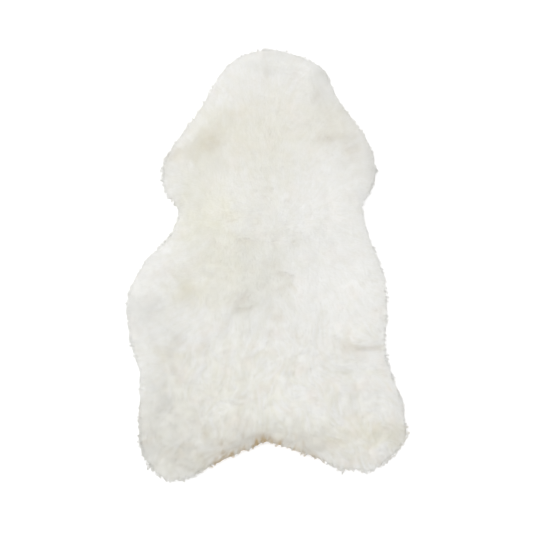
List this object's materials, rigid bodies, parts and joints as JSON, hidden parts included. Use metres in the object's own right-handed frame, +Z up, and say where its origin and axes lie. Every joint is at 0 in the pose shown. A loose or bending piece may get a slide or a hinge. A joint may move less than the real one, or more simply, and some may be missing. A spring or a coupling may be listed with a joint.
{
  "type": "sheepskin rug",
  "caption": "Flat one-skin sheepskin rug with thick cream wool on a tanned hide, narrow at the neck, with a notch at the tail and locks drooping past its rim.",
  "frame": {"origin": "on the floor, under the middle of the rug's box", "axes": "+Y along the skin towards the neck, +Z up out of the wool, +X to the right when seen from above with the neck away"},
  "size_m": [0.603, 0.919, 0.0499],
  "materials": {
    "wool": "long natural wool, cream white, plush at the neck and curly at the tail",
    "tanned_leather": "matt tanned hide, suede flesh side"
  },
  "bodies": {
    "root": {"fleece": "wool", "hide": "tanned_leather"}
  },
  "joints": []
}
